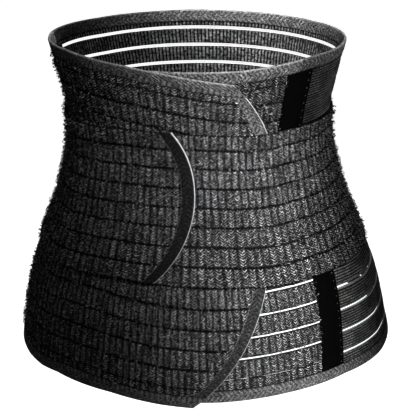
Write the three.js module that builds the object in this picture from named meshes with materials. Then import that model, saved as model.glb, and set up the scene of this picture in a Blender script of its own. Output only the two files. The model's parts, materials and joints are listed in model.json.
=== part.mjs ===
import * as THREE from 'three';

// Abdominal binder: three wide elastic belts wrapped round a torso, each closed at the front by a
// rounded flap over its right panel. Millimetres and degrees, +Z up, origin at the waist's centre.
// An angle of 0 is the middle of the front (-Y), 90 the +X side and 180 the back. Each belt is a
// spiral: its angle runs on past 360 where the flap lies over the panel that the belt began with.

// The torso space inside the binder
const WAIST_WIDTH = 241;
const WAIST_DEPTH = 167;
const HEIGHT_ABOVE_WAIST = 75;
const DROP_BELOW_WAIST = 226;

// Cloth, tape and fastener
const FABRIC_THICKNESS = 1.6;
const BINDING_THICKNESS = 2.2;
const BINDING_WIDTH = 11;
const TAPE_THICKNESS = 0.8;
const TAPE_WIDTH = 25;
const HOOK_THICKNESS = 0.8;
const PANEL_SLIT = 2;
const BACK_SLIT = 3;
const SLIT_END = 5;
const CLEARANCE = 0.3;
const LAYER_SLACK = 0.2;

// One layer of cloth over another, with room for the thickest thing that lies between them
const LAYER_STEP = LAYER_SLACK + 2 * CLEARANCE + Math.max(
  FABRIC_THICKNESS + Math.max(HOOK_THICKNESS, TAPE_THICKNESS),
  BINDING_THICKNESS,
);

// Facets round the body
const FACET_ANGLE = 10;
const SHORTEST_FACET = 2;

// Height as a share of the rise above the waist (plus) or of the drop below it (minus);
// width and depth as shares of the waist's
const TORSO = [
  { height: -1.0, width: 1.529, depth: 1.696 },
  { height: -0.833, width: 1.47, depth: 1.616 },
  { height: -0.667, width: 1.389, depth: 1.512 },
  { height: -0.5, width: 1.261, depth: 1.346 },
  { height: -0.333, width: 1.129, depth: 1.19 },
  { height: -0.167, width: 1.04, depth: 1.079 },
  { height: 0.0, width: 1.0, depth: 1.0 },
  { height: 0.5, width: 1.048, depth: 1.027 },
  { height: 1.0, width: 1.116, depth: 1.054 },
];

// How many cloth layers lie under a belt, by its angle
const INNER_BELT_LAYERS = [
  { angle: 280, layers: 0 },
  { angle: 300, layers: 1 },
];
const OUTER_BELT_LAYERS = [
  { angle: 40, layers: 2 },
  { angle: 60, layers: 1 },
  { angle: 250, layers: 1 },
  { angle: 260, layers: 1.3 },
  { angle: 280, layers: 1.3 },
  { angle: 310, layers: 3 },
];

// down is the way from a belt's first edge across its width: 1 down from the top, -1 up from the
// bottom. Slits are counted from the first edge. A seam's angle changes from the first edge to the
// far one. The flap's end is an arc round a tip: how far the tip reaches round from the middle of
// the front, how far it lies from the first edge, and the arc's radius. hook gives the angles of
// the fastener inside the flap. rise is a share of width.
const BELTS = [
  {
    name: 'upper',
    edge: HEIGHT_ABOVE_WAIST,
    down: 1,
    width: 139,
    bound: true,
    panelSlits: { first: 18, pitch: 17.6 },
    flapSlits: { first: 18, pitch: 17.6 },
    backSlits: { first: 17.4, pitch: 17.4 },
    start: -55,
    rightSeam: { first: 48, far: 46.5 },
    leftSeam: { first: 268, far: 268 },
    flapEnd: { reach: 78, fromEdge: 80, radius: 110 },
    hook: { start: 340, end: 370 },
    layers: INNER_BELT_LAYERS,
    wave: [
      { angle: -55, rise: -0.02 },
      { angle: 22, rise: -0.018 },
      { angle: 54, rise: 0.016 },
      { angle: 90, rise: 0.014 },
      { angle: 130, rise: 0.0 },
      { angle: 230, rise: 0.0 },
      { angle: 308, rise: 0.045 },
      { angle: 338, rise: 0.01 },
      { angle: 352, rise: -0.022 },
      { angle: 379, rise: -0.1 },
      { angle: 400, rise: -0.13 },
    ],
  },
  {
    name: 'middle',
    edge: 15,
    down: 1,
    width: 135,
    bound: false,
    panelSlits: { first: 14.5, pitch: 17.2 },
    flapSlits: { first: 16, pitch: 17.2 },
    backSlits: { first: 16.9, pitch: 16.9 },
    start: -50,
    rightSeam: { first: 110, far: 110 },
    leftSeam: { first: 250, far: 250 },
    flapEnd: { reach: 8.4, fromEdge: 58.4, radius: 100 },
    hook: { start: 310, end: 340 },
    layers: OUTER_BELT_LAYERS,
    wave: [
      { angle: -50, rise: 0.02 },
      { angle: 6, rise: 0.007 },
      { angle: 27, rise: -0.018 },
      { angle: 60, rise: -0.027 },
      { angle: 100, rise: -0.02 },
      { angle: 180, rise: 0.0 },
      { angle: 260, rise: -0.01 },
      { angle: 303, rise: -0.02 },
      { angle: 335, rise: 0.026 },
      { angle: 366, rise: 0.031 },
    ],
  },
  {
    name: 'lower',
    edge: -DROP_BELOW_WAIST,
    down: -1,
    width: 129,
    bound: true,
    panelSlits: { first: 21, pitch: 19 },
    flapSlits: { first: 18, pitch: 18.7 },
    backSlits: { first: 21, pitch: 20.8 },
    start: -55,
    rightSeam: { first: 46.5, far: 51.5 },
    leftSeam: { first: 268, far: 268 },
    flapEnd: { reach: 72.7, fromEdge: 133.8, radius: 168.8 },
    hook: { start: 320, end: 350 },
    layers: INNER_BELT_LAYERS,
    wave: [
      { angle: -55, rise: -0.03 },
      { angle: 10, rise: -0.017 },
      { angle: 30, rise: 0.004 },
      { angle: 52, rise: 0.015 },
      { angle: 74, rise: -0.018 },
      { angle: 110, rise: 0.0 },
      { angle: 250, rise: 0.0 },
      { angle: 313, rise: 0.022 },
      { angle: 331, rise: 0.006 },
      { angle: 352, rise: -0.033 },
      { angle: 366, rise: -0.05 },
    ],
  },
];

// Finishes
const LOOP_CLOTH = { color: 0x1d1d1e, roughness: 0.95, metalness: 0 };
const ELASTIC = { color: 0x242425, roughness: 0.85, metalness: 0 };
const KNIT_TAPE = { color: 0x3a3a3c, roughness: 0.9, metalness: 0 };
const BLACK_TAPE = { color: 0x060606, roughness: 0.95, metalness: 0 };
const HOOK_TAPE = { color: 0x0b0b0b, roughness: 0.6, metalness: 0 };

const radians = THREE.MathUtils.degToRad;

// Torso width and depth by height, as a smooth curve through the table
const torsoCurve = new THREE.CubicInterpolant(
  TORSO.map(({ height }) => height * (height > 0 ? HEIGHT_ABOVE_WAIST : DROP_BELOW_WAIST)),
  TORSO.flatMap(({ width, depth }) => [width * WAIST_WIDTH, depth * WAIST_DEPTH]),
  2,
);

// A point on the torso at an angle and height, moved outwards by an offset
function torsoPoint(angle, height, offset) {
  const [width, depth] = torsoCurve.evaluate(height);
  const sine = Math.sin(radians(angle));
  const cosine = Math.cos(radians(angle));
  const out = new THREE.Vector3(depth * sine, -width * cosine, 0).normalize();
  return new THREE.Vector3((width / 2) * sine, (-depth / 2) * cosine, height).addScaledVector(out, offset);
}

// Millimetres round the torso for one degree
function stretch(angle, height) {
  const [width, depth] = torsoCurve.evaluate(height);
  const along = Math.hypot(width * Math.cos(radians(angle)), depth * Math.sin(radians(angle)));
  return radians(along / 2);
}

// The angle at a distance round the torso from the middle of the front
function angleAtReach(reach, height) {
  const step = Math.sign(reach);
  let angle = 0;
  let left = Math.abs(reach);
  while (left > stretch(angle, height)) {
    left -= stretch(angle, height);
    angle += step;
  }
  return angle + (step * left) / stretch(angle, height);
}

// A value from a table's rows, straight between them and level past its ends
function lookUp(table, angle, column) {
  const next = table.findIndex((row) => row.angle > angle);
  if (next === 0) {
    return table[0][column];
  }
  if (next === -1) {
    return table[table.length - 1][column];
  }
  const from = table[next - 1];
  const to = table[next];
  return THREE.MathUtils.mapLinear(angle, from.angle, to.angle, from[column], to[column]);
}

function heightOn(belt, across, angle) {
  return belt.edge - belt.down * across + belt.width * lookUp(belt.wave, angle, 'rise');
}

function seamAngle(belt, seam, across) {
  return THREE.MathUtils.lerp(seam.first, seam.far, across / belt.width);
}

// The angle of the flap's rounded outline, a way back from it by an inset in millimetres
function flapAngle(belt, across, inset) {
  const { reach, fromEdge, radius } = belt.flapEnd;
  const fromTip = Math.min(Math.abs(across - fromEdge), radius);
  const edgeReach = reach - radius + Math.sqrt(radius ** 2 - fromTip ** 2) - inset;
  return 360 + angleAtReach(edgeReach, belt.edge - belt.down * across);
}

// A distance round the torso as an angle, at a place on a belt
function asAngle(belt, across, angle, distance) {
  return distance / stretch(angle, belt.edge - belt.down * across);
}

// Columns round a piece: its own ends and margins, and between them the facets that all belts
// share, so that one layer stays parallel to the next. Returns the angle of a column at a row.
function columnsBetween(starts, ends, rows) {
  const innerStart = Math.max(...rows.map(starts.at(-1)));
  const innerEnd = Math.min(...rows.map(ends[0]));
  const firstShared = Math.ceil((innerStart + SHORTEST_FACET) / FACET_ANGLE);
  const lastShared = Math.floor((innerEnd - SHORTEST_FACET) / FACET_ANGLE);
  const columns = [...starts];
  for (let facet = firstShared; facet <= lastShared; facet += 1) {
    columns.push(() => facet * FACET_ANGLE);
  }
  const before = columns.at(-1);
  const widest = Math.max(...rows.map((across) => ends[0](across) - before(across)));
  const steps = Math.ceil(widest / FACET_ANGLE);
  for (let step = 1; step < steps; step += 1) {
    columns.push((across) => THREE.MathUtils.lerp(before(across), ends[0](across), step / steps));
  }
  return [...columns, ...ends];
}

// A sheet with a front and a back, cut through wherever a cell of its grid is open
function sheetGeometry(columnCount, rowCount, pointAt, isOpen) {
  const positions = [];
  const index = [];
  const corner = (column, row, side) => (column * rowCount + row) * 2 + side;
  const quad = (a, b, c, d) => index.push(a, b, c, a, c, d);
  const solid = (column, row) => {
    const inside = column >= 0 && row >= 0 && column < columnCount - 1 && row < rowCount - 1;
    return inside && !isOpen(column, row);
  };
  for (let column = 0; column < columnCount; column += 1) {
    for (let row = 0; row < rowCount; row += 1) {
      positions.push(...pointAt(column, row, 0).toArray(), ...pointAt(column, row, 1).toArray());
    }
  }
  for (let column = 0; column < columnCount - 1; column += 1) {
    for (let row = 0; row < rowCount - 1; row += 1) {
      if (!solid(column, row)) {
        continue;
      }
      const inner = [
        corner(column, row, 0),
        corner(column + 1, row, 0),
        corner(column + 1, row + 1, 0),
        corner(column, row + 1, 0),
      ];
      const outer = inner.map((vertex) => vertex + 1);
      quad(outer[0], outer[1], outer[2], outer[3]);
      quad(inner[3], inner[2], inner[1], inner[0]);
      const neighbours = [
        solid(column, row - 1),
        solid(column + 1, row),
        solid(column, row + 1),
        solid(column - 1, row),
      ];
      neighbours.forEach((hasNeighbour, side) => {
        if (!hasNeighbour) {
          const next = (side + 1) % 4;
          quad(inner[side], inner[next], outer[next], outer[side]);
        }
      });
    }
  }
  const geometry = new THREE.BufferGeometry();
  geometry.setAttribute('position', new THREE.Float32BufferAttribute(positions, 3));
  geometry.setIndex(index);
  return geometry;
}

const binder = new THREE.Group();

function addPiece(name, geometry, finish) {
  const mesh = new THREE.Mesh(geometry, new THREE.MeshStandardMaterial({ ...finish, flatShading: true }));
  mesh.name = name;
  binder.add(mesh);
}

// A piece of a belt between two edges across it, wrapped over what lies under that belt
function addWrapped(name, belt, finish, { rows, starts, ends, lift, thickness, isOpen = () => false }) {
  const acrossTop = belt.down > 0 ? [...rows].reverse() : rows;
  const columns = columnsBetween(starts, ends, rows);
  const pointAt = (column, row, side) => {
    const across = acrossTop[row];
    const angle = columns[column](across);
    const layers = lookUp(belt.layers, angle, 'layers');
    const offset = layers * LAYER_STEP + lift + side * thickness;
    return torsoPoint(angle, heightOn(belt, across, angle), offset);
  };
  const openAt = (column, row) => isOpen(column, row, columns.length);
  addPiece(name, sheetGeometry(columns.length, rows.length, pointAt, openAt), finish);
}

// Where cloth begins and ends across a belt: past the binding on its bound edge
const clothStart = (belt) => (belt.bound ? BINDING_WIDTH + CLEARANCE : 0);

// The middles of the slits across a belt
function slitMiddles(belt, { first, pitch }) {
  const middles = [];
  for (let middle = first; middle < belt.width - pitch / 2; middle += pitch) {
    middles.push(middle);
  }
  return middles;
}

// Both edges of every band across a belt, from its first edge to its far one
function bandRows(belt, slits, slit) {
  const edges = slitMiddles(belt, slits).flatMap((middle) => [middle - slit / 2, middle + slit / 2]);
  return [clothStart(belt), ...edges, belt.width];
}

// A front panel: bands joined at both ends, with slits cut through between them
function addPanel(name, belt, slits, starts, ends) {
  addWrapped(name, belt, LOOP_CLOTH, {
    rows: bandRows(belt, slits, PANEL_SLIT),
    starts,
    ends,
    lift: 0,
    thickness: FABRIC_THICKNESS,
    isOpen: (column, row, count) => row % 2 === 1 && column > 0 && column < count - 2,
  });
}

// Columns at a seam: its line, and the edge of the tape that covers it, on one side
function seamColumns(belt, seam, side) {
  const gap = (side * CLEARANCE) / 2;
  const line = (across) => seamAngle(belt, seam, across);
  const shifted = (distance) => (across) => line(across) + asAngle(belt, across, line(across), distance);
  const tapeEdge = shifted((side * TAPE_WIDTH) / 2);
  return side > 0 ? [shifted(gap), tapeEdge] : [tapeEdge, shifted(gap)];
}

function addRightPanel(belt) {
  const start = () => belt.start;
  const slitStart = (across) => belt.start + asAngle(belt, across, belt.start, SLIT_END);
  const ends = seamColumns(belt, belt.rightSeam, -1);
  addPanel(`${belt.name}_right_panel`, belt, belt.panelSlits, [start, slitStart], ends);
}

function addFlap(belt) {
  const inset = BINDING_WIDTH + CLEARANCE;
  const ends = [
    (across) => flapAngle(belt, across, inset + SLIT_END),
    (across) => flapAngle(belt, across, inset),
  ];
  addPanel(`${belt.name}_left_flap`, belt, belt.flapSlits, seamColumns(belt, belt.leftSeam, 1), ends);
}

// Separate elastic bands round the back, from seam to seam
function addBackBands(belt) {
  const rows = bandRows(belt, belt.backSlits, BACK_SLIT);
  for (let band = 0; band < rows.length / 2; band += 1) {
    addWrapped(`${belt.name}_back_band_${band + 1}`, belt, ELASTIC, {
      rows: rows.slice(2 * band, 2 * band + 2),
      starts: [seamColumns(belt, belt.rightSeam, 1)[0]],
      ends: [seamColumns(belt, belt.leftSeam, -1)[1]],
      lift: 0,
      thickness: FABRIC_THICKNESS,
    });
  }
}

// Black tape outside a seam
function addTape(name, belt, seam) {
  const [before, line] = seamColumns(belt, seam, -1);
  const after = seamColumns(belt, seam, 1)[1];
  addWrapped(name, belt, BLACK_TAPE, {
    rows: [clothStart(belt), ...slitMiddles(belt, belt.panelSlits), belt.width],
    starts: [before],
    ends: [line, after],
    lift: FABRIC_THICKNESS + CLEARANCE,
    thickness: TAPE_THICKNESS,
  });
}

const bindingLift = (FABRIC_THICKNESS - BINDING_THICKNESS) / 2;

// Knitted binding round the flap's end
function addEndBinding(belt) {
  addWrapped(`${belt.name}_flap_end_binding`, belt, KNIT_TAPE, {
    rows: bandRows(belt, belt.flapSlits, PANEL_SLIT),
    starts: [(across) => flapAngle(belt, across, BINDING_WIDTH)],
    ends: [(across) => flapAngle(belt, across, 0)],
    lift: bindingLift,
    thickness: BINDING_THICKNESS,
  });
}

// Knitted binding along a bound edge, in lengths that meet at the seams
function addEdgeBindings(belt) {
  const lengths = [
    { part: 'right', starts: [() => belt.start], ends: [seamColumns(belt, belt.rightSeam, -1)[1]] },
    {
      part: 'back',
      starts: [seamColumns(belt, belt.rightSeam, 1)[0]],
      ends: [seamColumns(belt, belt.leftSeam, -1)[1]],
    },
    {
      part: 'flap',
      starts: [seamColumns(belt, belt.leftSeam, 1)[0]],
      ends: [(across) => flapAngle(belt, across, 0)],
    },
  ];
  for (const { part, starts, ends } of lengths) {
    addWrapped(`${belt.name}_edge_binding_${part}`, belt, KNIT_TAPE, {
      rows: [0, BINDING_WIDTH],
      starts,
      ends,
      lift: bindingLift,
      thickness: BINDING_THICKNESS,
    });
  }
}

// Hook fastener inside the flap, from its first slit to its last
function addHookPatch(belt) {
  addWrapped(`${belt.name}_hook_patch`, belt, HOOK_TAPE, {
    rows: slitMiddles(belt, belt.flapSlits),
    starts: [() => belt.hook.start],
    ends: [() => belt.hook.end],
    lift: -CLEARANCE - HOOK_THICKNESS,
    thickness: HOOK_THICKNESS,
  });
}

for (const belt of BELTS) {
  addRightPanel(belt);
  addFlap(belt);
  addBackBands(belt);
  addTape(`${belt.name}_right_tape`, belt, belt.rightSeam);
  addTape(`${belt.name}_left_tape`, belt, belt.leftSeam);
  addEndBinding(belt);
  addHookPatch(belt);
  if (belt.bound) {
    addEdgeBindings(belt);
  }
}

export default binder;
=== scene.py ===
import json
import math
import random

import bmesh
import bpy
from bpy.props import FloatProperty, FloatVectorProperty, PointerProperty
from mathutils import Matrix, Vector, noise

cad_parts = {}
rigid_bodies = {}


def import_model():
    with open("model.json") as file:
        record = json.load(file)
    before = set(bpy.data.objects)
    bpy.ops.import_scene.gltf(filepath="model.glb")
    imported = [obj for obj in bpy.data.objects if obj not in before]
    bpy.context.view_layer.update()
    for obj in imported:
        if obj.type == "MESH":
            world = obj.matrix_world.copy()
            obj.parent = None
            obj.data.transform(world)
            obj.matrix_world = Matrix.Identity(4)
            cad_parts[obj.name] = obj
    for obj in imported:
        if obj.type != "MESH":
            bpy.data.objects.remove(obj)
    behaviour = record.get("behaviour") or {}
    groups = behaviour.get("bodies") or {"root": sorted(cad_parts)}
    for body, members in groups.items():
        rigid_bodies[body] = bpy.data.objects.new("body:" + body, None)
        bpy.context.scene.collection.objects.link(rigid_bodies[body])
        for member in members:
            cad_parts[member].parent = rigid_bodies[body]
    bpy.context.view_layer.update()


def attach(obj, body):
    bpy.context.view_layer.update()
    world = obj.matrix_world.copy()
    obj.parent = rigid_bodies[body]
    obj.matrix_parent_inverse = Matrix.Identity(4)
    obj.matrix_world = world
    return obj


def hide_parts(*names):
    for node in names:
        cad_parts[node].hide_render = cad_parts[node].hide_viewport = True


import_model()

bl_info = {
    "name": "Abdominal Binder",
    "version": (1, 0, 0),
    "blender": (4, 5, 0),
    "location": "View3D > Sidebar > Binder",
    "description": "Three slotted elastic belts wrapped round a waist, with rounded hook-and-loop flaps",
    "category": "Add Mesh",
}

MM = 0.001
CM = 10 * MM

# The torso that the belts wrap, by height as a share of the rise above the waist (plus) or the drop
# below it (minus). Width and depth are shares of the waist's.
WAIST_WIDTH = 241 * MM
WAIST_DEPTH = 167 * MM
RISE = 75 * MM
DROP = 226 * MM
TORSO = (
    {"height": -1.0, "width": 1.529, "depth": 1.696},
    {"height": -0.833, "width": 1.47, "depth": 1.616},
    {"height": -0.667, "width": 1.389, "depth": 1.512},
    {"height": -0.5, "width": 1.261, "depth": 1.346},
    {"height": -0.333, "width": 1.129, "depth": 1.19},
    {"height": -0.167, "width": 1.04, "depth": 1.079},
    {"height": 0.0, "width": 1.0, "depth": 1.0},
    {"height": 0.5, "width": 1.048, "depth": 1.027},
    {"height": 1.0, "width": 1.116, "depth": 1.054},
)

# Thicknesses and widths, the clearance at seams, and how far one layer of cloth lifts the next.
FABRIC = 1.6 * MM
BINDING_WIDTH = 11 * MM
TAPE = 0.8 * MM
TAPE_WIDTH = 25 * MM
CLEARANCE = 0.3 * MM
LAYER_STEP = 3.2 * MM

# How many layers of cloth lie under a belt, by the angle round it.
INNER_LAYERS = ((280, 0.0), (300, 1.0))
OUTER_LAYERS = ((37, 2.0), (44, 1.0), (250, 1.0), (260, 1.3), (280, 1.3), (310, 3.0))

# Each belt is a spiral: angle 0 is the middle of the front, 90 the +X side, 180 the back, and past
# 360 the flap lies over the panel that the belt began with. down is the way across the belt from
# its first edge. A seam has its angle at the first edge and at the far one. Each row of wave is an
# angle and how far the belt is lifted there, as a share of its width. A flap's end is an arc: how
# far its tip reaches past the middle of the front, how far down the tip is, and its radius.
BELTS = {
    "upper": {
        "edge": RISE,
        "down": 1,
        "width": 139 * MM,
        "bound": True,
        "panel_slits": {"first": 18 * MM, "pitch": 17.6 * MM},
        "flap_slits": {"first": 18 * MM, "pitch": 17.6 * MM},
        "back_slits": {"first": 17.4 * MM, "pitch": 17.4 * MM},
        "start": -55,
        "right_seam": (48, 46.5),
        "left_seam": (268, 268),
        "flap_end": {"reach": 78 * MM, "down": 80 * MM, "radius": 110 * MM},
        "layers": INNER_LAYERS,
        "wave": (
            (-55, -0.02),
            (22, -0.018),
            (54, 0.016),
            (90, 0.014),
            (130, 0.0),
            (230, 0.0),
            (308, 0.045),
            (338, 0.01),
            (352, -0.022),
            (379, -0.1),
            (400, -0.13),
        ),
    },
    "middle": {
        "edge": 15 * MM,
        "down": 1,
        "width": 135 * MM,
        "bound": False,
        "panel_slits": {"first": 14.5 * MM, "pitch": 17.2 * MM},
        "flap_slits": {"first": 16 * MM, "pitch": 17.2 * MM},
        "back_slits": {"first": 16.9 * MM, "pitch": 16.9 * MM},
        "start": -50,
        "right_seam": (110, 110),
        "left_seam": (250, 250),
        "flap_end": {"reach": 8.4 * MM, "down": 58.4 * MM, "radius": 100 * MM},
        "layers": OUTER_LAYERS,
        "wave": (
            (-50, 0.02),
            (6, 0.007),
            (27, -0.018),
            (60, -0.027),
            (100, -0.02),
            (180, 0.0),
            (260, -0.01),
            (303, -0.02),
            (335, 0.026),
            (366, 0.031),
        ),
    },
    "lower": {
        "edge": -DROP,
        "down": -1,
        "width": 129 * MM,
        "bound": True,
        "panel_slits": {"first": 21 * MM, "pitch": 19 * MM},
        "flap_slits": {"first": 18 * MM, "pitch": 18.7 * MM},
        "back_slits": {"first": 21 * MM, "pitch": 20.8 * MM},
        "start": -55,
        "right_seam": (46.5, 51.5),
        "left_seam": (268, 268),
        "flap_end": {"reach": 72.7 * MM, "down": 133.8 * MM, "radius": 168.8 * MM},
        "layers": INNER_LAYERS,
        "wave": (
            (-55, -0.03),
            (10, -0.017),
            (30, 0.004),
            (52, 0.015),
            (74, -0.018),
            (110, 0.0),
            (250, 0.0),
            (278, -0.035),
            (308, -0.03),
            (320, 0.004),
            (331, 0.006),
            (352, -0.033),
            (366, -0.05),
        ),
    },
}

# Slits as they look: loops close most of them to a groove, and only those of the lower right panel
# and of the back stand open.
CLOSED_SLIT = (0.5 * MM,)
OPEN_PANEL_SLITS = (0.5 * MM, 1.7 * MM)
BACK_SLIT = (3 * MM,)


def natural_spline(xs, ys):
    """Second derivatives of the natural cubic spline through the points."""
    n = len(xs)
    below, middle, above, right = [0.0] * n, [1.0] * n, [0.0] * n, [0.0] * n
    for i in range(1, n - 1):
        h0, h1 = xs[i] - xs[i - 1], xs[i + 1] - xs[i]
        below[i], middle[i], above[i] = h0, 2 * (h0 + h1), h1
        right[i] = 6 * ((ys[i + 1] - ys[i]) / h1 - (ys[i] - ys[i - 1]) / h0)
    for i in range(1, n):
        share = below[i] / middle[i - 1]
        middle[i] -= share * above[i - 1]
        right[i] -= share * right[i - 1]
    second = [0.0] * n
    for i in range(n - 2, -1, -1):
        second[i] = (right[i] - above[i] * second[i + 1]) / middle[i]
    return second


HEIGHTS = [row["height"] * (RISE if row["height"] > 0 else DROP) for row in TORSO]
WIDTHS = [row["width"] * WAIST_WIDTH for row in TORSO]
DEPTHS = [row["depth"] * WAIST_DEPTH for row in TORSO]
WIDTH_BENDS = natural_spline(HEIGHTS, WIDTHS)
DEPTH_BENDS = natural_spline(HEIGHTS, DEPTHS)


def on_spline(values, bends, height):
    """The value at a height, on the natural cubic spline through the torso's rows."""
    i = 0
    while i < len(HEIGHTS) - 2 and height > HEIGHTS[i + 1]:
        i += 1
    h = HEIGHTS[i + 1] - HEIGHTS[i]
    a, b = (HEIGHTS[i + 1] - height) / h, (height - HEIGHTS[i]) / h
    bend = ((a**3 - a) * bends[i] + (b**3 - b) * bends[i + 1]) * h * h / 6
    return a * values[i] + b * values[i + 1] + bend


def torso_size(height):
    """The torso's width and depth."""
    return on_spline(WIDTHS, WIDTH_BENDS, height), on_spline(DEPTHS, DEPTH_BENDS, height)


def torso_point(angle, height, offset):
    """A point an offset outside the torso."""
    width, depth = torso_size(height)
    sine, cosine = math.sin(math.radians(angle)), math.cos(math.radians(angle))
    out = Vector((depth * sine, -width * cosine, 0)).normalized()
    return Vector((width / 2 * sine, -depth / 2 * cosine, height)) + out * offset


def stretch(angle, height):
    """Metres round the torso for one degree."""
    width, depth = torso_size(height)
    turn = math.radians(angle)
    return math.radians(math.hypot(width * math.cos(turn), depth * math.sin(turn)) / 2)


def angle_at_reach(reach, height):
    """The angle at a distance round the torso from the middle of the front."""
    step = math.copysign(1, reach)
    angle, left = 0.0, abs(reach)
    while left > stretch(angle, height):
        left -= stretch(angle, height)
        angle += step
    return angle + step * left / stretch(angle, height)


def look_up(table, angle):
    """The value at an angle, between the rows of a table of angles and values."""
    if angle <= table[0][0]:
        return table[0][1]
    for (a0, v0), (a1, v1) in zip(table, table[1:]):
        if angle <= a1:
            return v0 + (v1 - v0) * (angle - a0) / (a1 - a0)
    return table[-1][1]


def height_on(belt, across, angle):
    """The height of a line along the belt, some way across it."""
    return belt["edge"] - belt["down"] * across + belt["width"] * look_up(belt["wave"], angle)


def seam_angle(belt, seam, across):
    first, far = belt[seam]
    return first + (far - first) * across / belt["width"]


def flap_angle(belt, across, inset=0.0):
    """The angle of the flap's rounded outline, a way back from it by the inset."""
    end = belt["flap_end"]
    from_tip = min(abs(across - end["down"]), end["radius"])
    bulge = math.sqrt(end["radius"] ** 2 - from_tip**2)
    edge_reach = end["reach"] - end["radius"] + bulge - inset
    return 360 + angle_at_reach(edge_reach, belt["edge"] - belt["down"] * across)


def beside(belt, across, angle, distance):
    """An angle moved round the torso by a distance."""
    return angle + distance / stretch(angle, belt["edge"] - belt["down"] * across)


def belt_point(belt, across, angle, lift):
    """A point on the belt, lifted off the layers that lie under it."""
    offset = look_up(belt["layers"], angle) * LAYER_STEP + lift
    return torso_point(angle, height_on(belt, across, angle), offset)


def cloth_start(belt):
    """How far across the belt its cloth begins, beside the rim's binding where it has one."""
    return BINDING_WIDTH + CLEARANCE if belt["bound"] else 0.0


def slit_middles(belt, slits):
    """How far across the belt each slit lies."""
    pitch = belt[slits]["pitch"]
    middles, middle = [], belt[slits]["first"]
    while middle < belt["width"] - pitch / 2:
        middles.append(middle)
        middle += pitch
    return middles


def bands(belt, slits, gaps):
    """Both edges of every band across a belt. gaps has the first slit's width, then the others'."""
    edges = [cloth_start(belt)]
    for index, middle in enumerate(slit_middles(belt, slits)):
        gap = gaps[min(index, len(gaps) - 1)]
        edges += [middle - gap / 2, middle + gap / 2]
    edges.append(belt["width"])
    return list(zip(edges[::2], edges[1::2]))


COLOR = {"subtype": "COLOR", "size": 3, "min": 0, "max": 1}


class ClothSettings(bpy.types.PropertyGroup):
    """Sizes and colours of the loop cloth."""

    color: FloatVectorProperty(
        name="Loop colour",
        description="Lightest colour of the loops",
        default=(0.9, 0.9, 0.91),
        **COLOR,
    )
    ground: FloatVectorProperty(
        name="Ground colour",
        description="Colour deep between the loops",
        default=(0.003, 0.003, 0.003),
        **COLOR,
    )
    crown: FloatProperty(
        name="Crown",
        description="How far a band swells between its slits",
        default=0.8 * MM,
        unit="LENGTH",
    )
    column: FloatProperty(
        name="Column",
        description="Width of one column of loops",
        default=6.3 * MM,
        unit="LENGTH",
    )


class ElasticSettings(bpy.types.PropertyGroup):
    """Sizes and colours of the ribbed elastic bands."""

    color: FloatVectorProperty(
        name="Elastic colour",
        description="Lightest colour of the ribs",
        default=(0.24, 0.24, 0.243),
        **COLOR,
    )
    rib: FloatProperty(
        name="Rib",
        description="Distance between two ribs",
        default=2.5 * MM,
        unit="LENGTH",
    )
    rib_height: FloatProperty(
        name="Rib height",
        description="How far a rib stands out",
        default=0.25 * MM,
        unit="LENGTH",
    )


class TrimSettings(bpy.types.PropertyGroup):
    """Colours of bindings, tapes and stitches."""

    binding_color: FloatVectorProperty(
        name="Binding colour",
        description="Colour of the knitted binding",
        default=(0.3, 0.3, 0.303),
        **COLOR,
    )
    piping_color: FloatVectorProperty(
        name="Piping colour",
        description="Colour of the light edge round a flap's end",
        default=(0.55, 0.55, 0.55),
        **COLOR,
    )
    tape_color: FloatVectorProperty(
        name="Tape colour",
        description="Colour of the tape over the seams",
        default=(0.0008, 0.0008, 0.0008),
        **COLOR,
    )
    stitch_gap: FloatProperty(
        name="Stitch spacing",
        description="Distance between two stitches",
        default=7.3 * MM,
        unit="LENGTH",
    )


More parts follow.
